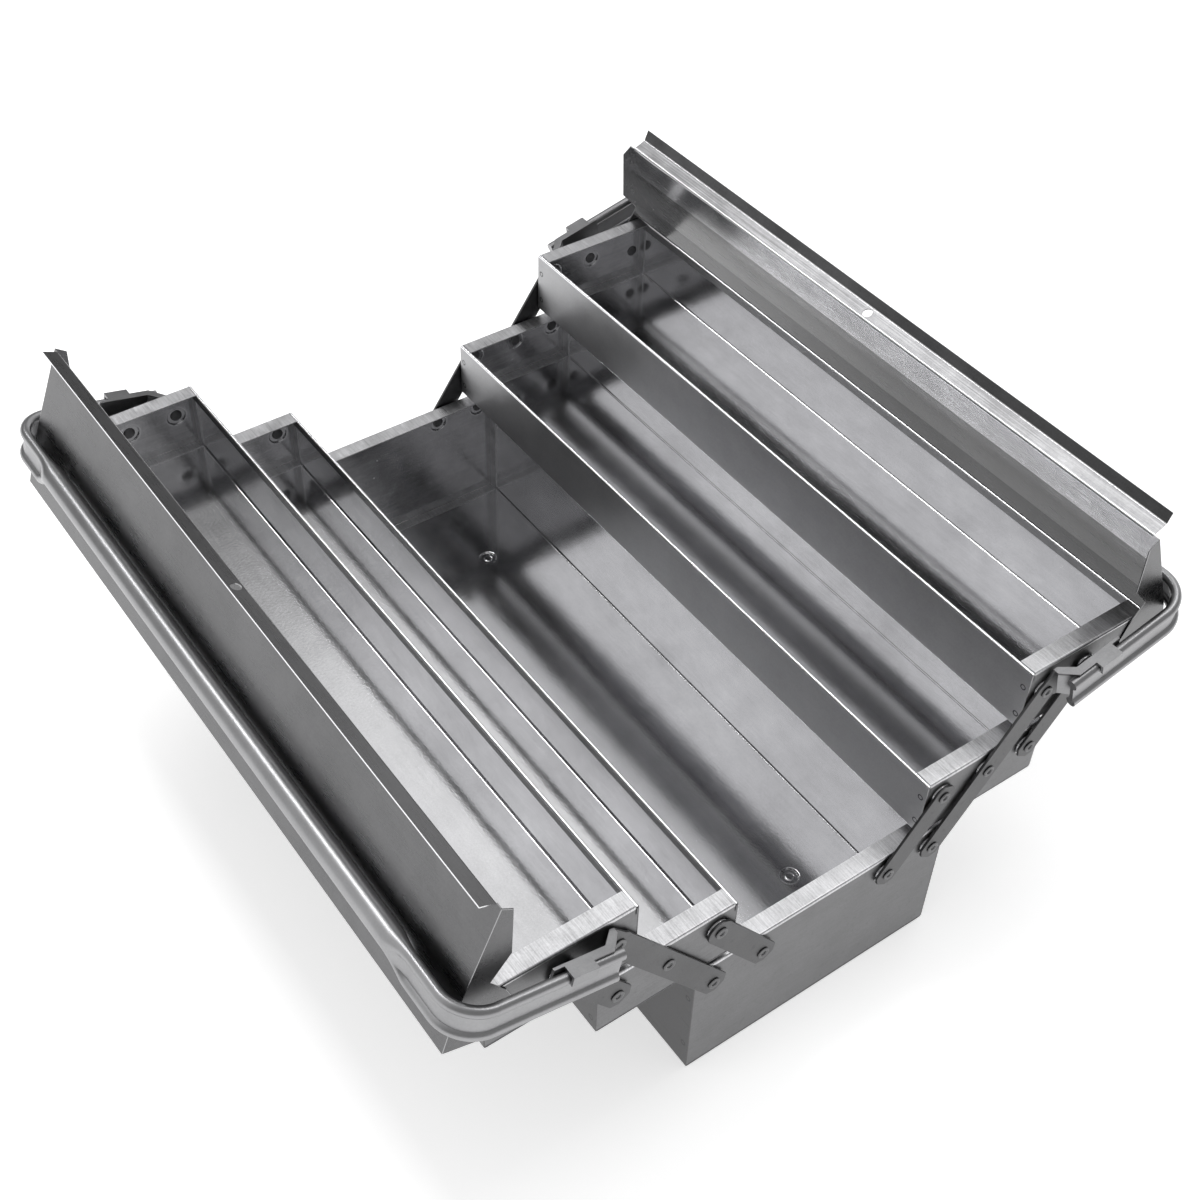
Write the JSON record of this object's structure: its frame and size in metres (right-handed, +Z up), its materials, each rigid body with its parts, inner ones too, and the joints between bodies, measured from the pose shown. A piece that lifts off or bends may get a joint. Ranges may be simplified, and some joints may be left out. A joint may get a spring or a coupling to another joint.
{
  "type": "cantilever tool box",
  "caption": "Folding sheet-metal tool box standing open: a deep base tub, tiers of trays carried on riveted links, hinged lid halves and a tubular handle on each side.",
  "frame": {"origin": "on the ground under the middle of the base tub", "axes": "+X along the box towards its right end, +Y across it towards the rear trays, +Z up"},
  "size_m": [0.5698, 0.5488, 0.291],
  "materials": {
    "tubs": "bright plated sheet",
    "end_plates": "brushed plated sheet",
    "lids": "satin plated sheet",
    "links": "dull plated strip",
    "rivets": "plated, slightly dulled",
    "handles": "polished plated tube"
  },
  "bodies": {
    "base": {"base_tub": "tubs", "base_end_right": "end_plates", "base_end_left": "end_plates", "base_rivets": "rivets"},
    "linkage_front": {"long_link_front_right": "links", "long_link_front_left": "links", "handle_front": "handles"},
    "lower_tray_front": {"lower_tray_front": "tubs", "lower_front_end_right": "end_plates", "lower_front_end_left": "end_plates", "lower_front_rivets": "rivets"},
    "upper_tray_front": {"upper_tray_front": "tubs", "upper_front_end_right": "end_plates", "upper_front_end_left": "end_plates", "upper_front_rivets": "rivets"},
    "lid_front": {"lid_front": "lids", "lid_crest_front": "lids", "lid_cheek_front_right": "lids", "lid_cheek_front_left": "lids"},
    "inner_link_front_right": {"inner_link_front_right": "links"},
    "outer_link_front_right": {"outer_link_front_right": "links"},
    "inner_link_front_left": {"inner_link_front_left": "links"},
    "outer_link_front_left": {"outer_link_front_left": "links"},
    "linkage_rear": {"long_link_rear_right": "links", "long_link_rear_left": "links", "handle_rear": "handles"},
    "lower_tray_rear": {"lower_tray_rear": "tubs", "lower_rear_end_right": "end_plates", "lower_rear_end_left": "end_plates", "lower_rear_rivets": "rivets"},
    "upper_tray_rear": {"upper_tray_rear": "tubs", "upper_rear_end_right": "end_plates", "upper_rear_end_left": "end_plates", "upper_rear_rivets": "rivets"},
    "lid_rear": {"lid_rear": "lids", "lid_crest_rear": "lids", "lid_cheek_rear_right": "lids", "lid_cheek_rear_left": "lids"},
    "inner_link_rear_right": {"inner_link_rear_right": "links"},
    "outer_link_rear_right": {"outer_link_rear_right": "links"},
    "inner_link_rear_left": {"inner_link_rear_left": "links"},
    "outer_link_rear_left": {"outer_link_rear_left": "links"}
  },
  "joints": [
    {"name": "fold_front", "type": "hinge", "parent": "base", "child": "linkage_front", "pos_m": [0, -0.088, 0.09], "axis": [-1, 0, 0], "range_deg": [0, 71.4]},
    {"name": "lower_tray_level_front", "type": "hinge", "parent": "linkage_front", "child": "lower_tray_front", "pos_m": [0, -0.12447, 0.14075], "axis": [-1, 0, 0], "range_deg": [-71.4, 0]},
    {"name": "upper_tray_level_front", "type": "hinge", "parent": "linkage_front", "child": "upper_tray_front", "pos_m": [0, -0.16094, 0.19151], "axis": [-1, 0, 0], "range_deg": [-71.4, 0]},
    {"name": "lid_swing_front", "type": "hinge", "parent": "upper_tray_front", "child": "lid_front", "pos_m": [0, -0.23703, 0.184], "axis": [-1, 0, 0], "range_deg": [0, 67.2]},
    {"name": "inner_turn_front_right", "type": "hinge", "parent": "base", "child": "inner_link_front_right", "pos_m": [0.2672, -0.0505, 0.09], "axis": [-1, 0, 0], "range_deg": [0, 71.4]},
    {"name": "outer_turn_front_right", "type": "hinge", "parent": "lower_tray_front", "child": "outer_link_front_right", "pos_m": [0.2672, -0.15997, 0.14075], "axis": [-1, 0, 0], "range_deg": [0, 71.4]},
    {"name": "inner_turn_front_left", "type": "hinge", "parent": "base", "child": "inner_link_front_left", "pos_m": [-0.2672, -0.0505, 0.09], "axis": [-1, 0, 0], "range_deg": [0, 71.4]},
    {"name": "outer_turn_front_left", "type": "hinge", "parent": "lower_tray_front", "child": "outer_link_front_left", "pos_m": [-0.2672, -0.15997, 0.14075], "axis": [-1, 0, 0], "range_deg": [0, 71.4]},
    {"name": "fold_rear", "type": "hinge", "parent": "base", "child": "linkage_rear", "pos_m": [0, 0.088, 0.09], "axis": [1, 0, 0], "range_deg": [0, 71.4]},
    {"name": "lower_tray_level_rear", "type": "hinge", "parent": "linkage_rear", "child": "lower_tray_rear", "pos_m": [0, 0.12447, 0.14075], "axis": [1, 0, 0], "range_deg": [-71.4, 0]},
    {"name": "upper_tray_level_rear", "type": "hinge", "parent": "linkage_rear", "child": "upper_tray_rear", "pos_m": [0, 0.16094, 0.19151], "axis": [1, 0, 0], "range_deg": [-71.4, 0]},
    {"name": "lid_swing_rear", "type": "hinge", "parent": "upper_tray_rear", "child": "lid_rear", "pos_m": [0, 0.23703, 0.184], "axis": [1, 0, 0], "range_deg": [0, 67.2]},
    {"name": "inner_turn_rear_right", "type": "hinge", "parent": "base", "child": "inner_link_rear_right", "pos_m": [0.2672, 0.0505, 0.09], "axis": [1, 0, 0], "range_deg": [0, 71.4]},
    {"name": "outer_turn_rear_right", "type": "hinge", "parent": "lower_tray_rear", "child": "outer_link_rear_right", "pos_m": [0.2672, 0.15997, 0.14075], "axis": [1, 0, 0], "range_deg": [0, 71.4]},
    {"name": "inner_turn_rear_left", "type": "hinge", "parent": "base", "child": "inner_link_rear_left", "pos_m": [-0.2672, 0.0505, 0.09], "axis": [1, 0, 0], "range_deg": [0, 71.4]},
    {"name": "outer_turn_rear_left", "type": "hinge", "parent": "lower_tray_rear", "child": "outer_link_rear_left", "pos_m": [-0.2672, 0.15997, 0.14075], "axis": [1, 0, 0], "range_deg": [0, 71.4]}
  ],
  "couplings": [
    {"joint": "lower_tray_level_front", "follows": "fold_front", "ratio": -1},
    {"joint": "upper_tray_level_front", "follows": "fold_front", "ratio": -1},
    {"joint": "lid_swing_front", "follows": "fold_front", "ratio": 0.941},
    {"joint": "inner_turn_front_right", "follows": "fold_front", "ratio": 1},
    {"joint": "outer_turn_front_right", "follows": "fold_front", "ratio": 1},
    {"joint": "inner_turn_front_left", "follows": "fold_front", "ratio": 1},
    {"joint": "outer_turn_front_left", "follows": "fold_front", "ratio": 1},
    {"joint": "lower_tray_level_rear", "follows": "fold_rear", "ratio": -1},
    {"joint": "upper_tray_level_rear", "follows": "fold_rear", "ratio": -1},
    {"joint": "lid_swing_rear", "follows": "fold_rear", "ratio": 0.941},
    {"joint": "inner_turn_rear_right", "follows": "fold_rear", "ratio": 1},
    {"joint": "outer_turn_rear_right", "follows": "fold_rear", "ratio": 1},
    {"joint": "inner_turn_rear_left", "follows": "fold_rear", "ratio": 1},
    {"joint": "outer_turn_rear_left", "follows": "fold_rear", "ratio": 1}
  ]
}
